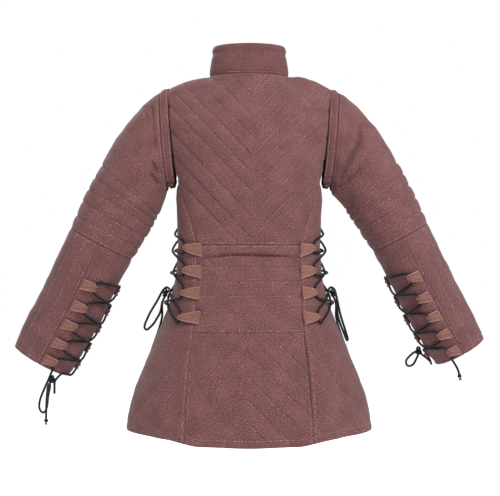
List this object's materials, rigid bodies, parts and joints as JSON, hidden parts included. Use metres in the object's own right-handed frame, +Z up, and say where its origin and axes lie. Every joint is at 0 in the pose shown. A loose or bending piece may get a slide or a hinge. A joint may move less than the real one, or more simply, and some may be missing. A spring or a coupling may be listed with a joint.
{
  "type": "gambeson",
  "caption": "Woman's quilted gambeson, hollow as worn: standing collar, flared skirt, and laces over loops at the waist sides and along the forearms.",
  "frame": {"origin": "middle of the neck seam, at the top of the shoulder line, where the wearer's shoulders hold the garment up", "axes": "+X towards the wearer's left sleeve, +Y out of the garment's back, +Z up out of the collar"},
  "size_m": [1.0536, 0.4015, 0.8338],
  "materials": {
    "quilted_cloth": "heathered madder-brown woven canvas, matt, quilted",
    "tape": "smooth pinkish-brown cotton tape",
    "cord": "near-black braided cotton cord",
    "button_cloth": "the garment's cloth over a button form"
  },
  "bodies": {
    "root": {"back_bodice": "quilted_cloth", "back_waist": "quilted_cloth", "back_skirt": "quilted_cloth", "side_left": "quilted_cloth", "side_right": "quilted_cloth", "front_left": "quilted_cloth", "front_right": "quilted_cloth", "upper_sleeve_left": "quilted_cloth", "upper_sleeve_right": "quilted_cloth", "forearm_left": "quilted_cloth", "forearm_right": "quilted_cloth", "forearm_gusset_left": "quilted_cloth", "forearm_gusset_right": "quilted_cloth", "collar": "quilted_cloth", "armhole_strip_left": "quilted_cloth", "armhole_strip_right": "quilted_cloth", "waist_loop_back_left_1": "tape", "waist_loop_back_left_2": "tape", "waist_loop_back_left_3": "tape", "waist_loop_back_left_4": "tape", "waist_loop_front_left_1": "tape", "waist_loop_front_left_2": "tape", "waist_loop_front_left_3": "tape", "waist_loop_front_left_4": "tape", "waist_loop_back_right_1": "tape", "waist_loop_back_right_2": "tape", "waist_loop_back_right_3": "tape", "waist_loop_back_right_4": "tape", "waist_loop_front_right_1": "tape", "waist_loop_front_right_2": "tape", "waist_loop_front_right_3": "tape", "waist_loop_front_right_4": "tape", "sleeve_loop_back_left_1": "tape", "sleeve_loop_back_left_2": "tape", "sleeve_loop_back_left_3": "tape", "sleeve_loop_back_left_4": "tape", "sleeve_loop_back_left_5": "tape", "sleeve_loop_front_left_1": "tape", "sleeve_loop_front_left_2": "tape", "sleeve_loop_front_left_3": "tape", "sleeve_loop_front_left_4": "tape", "sleeve_loop_front_left_5": "tape", "sleeve_loop_back_right_1": "tape", "sleeve_loop_back_right_2": "tape", "sleeve_loop_back_right_3": "tape", "sleeve_loop_back_right_4": "tape", "sleeve_loop_back_right_5": "tape", "sleeve_loop_front_right_1": "tape", "sleeve_loop_front_right_2": "tape", "sleeve_loop_front_right_3": "tape", "sleeve_loop_front_right_4": "tape", "sleeve_loop_front_right_5": "tape", "waist_lace_left": "cord", "waist_lace_right": "cord", "sleeve_lace_left": "cord", "sleeve_lace_right": "cord", "button_1": "button_cloth", "button_2": "button_cloth", "button_3": "button_cloth", "button_4": "button_cloth"}
  },
  "joints": []
}
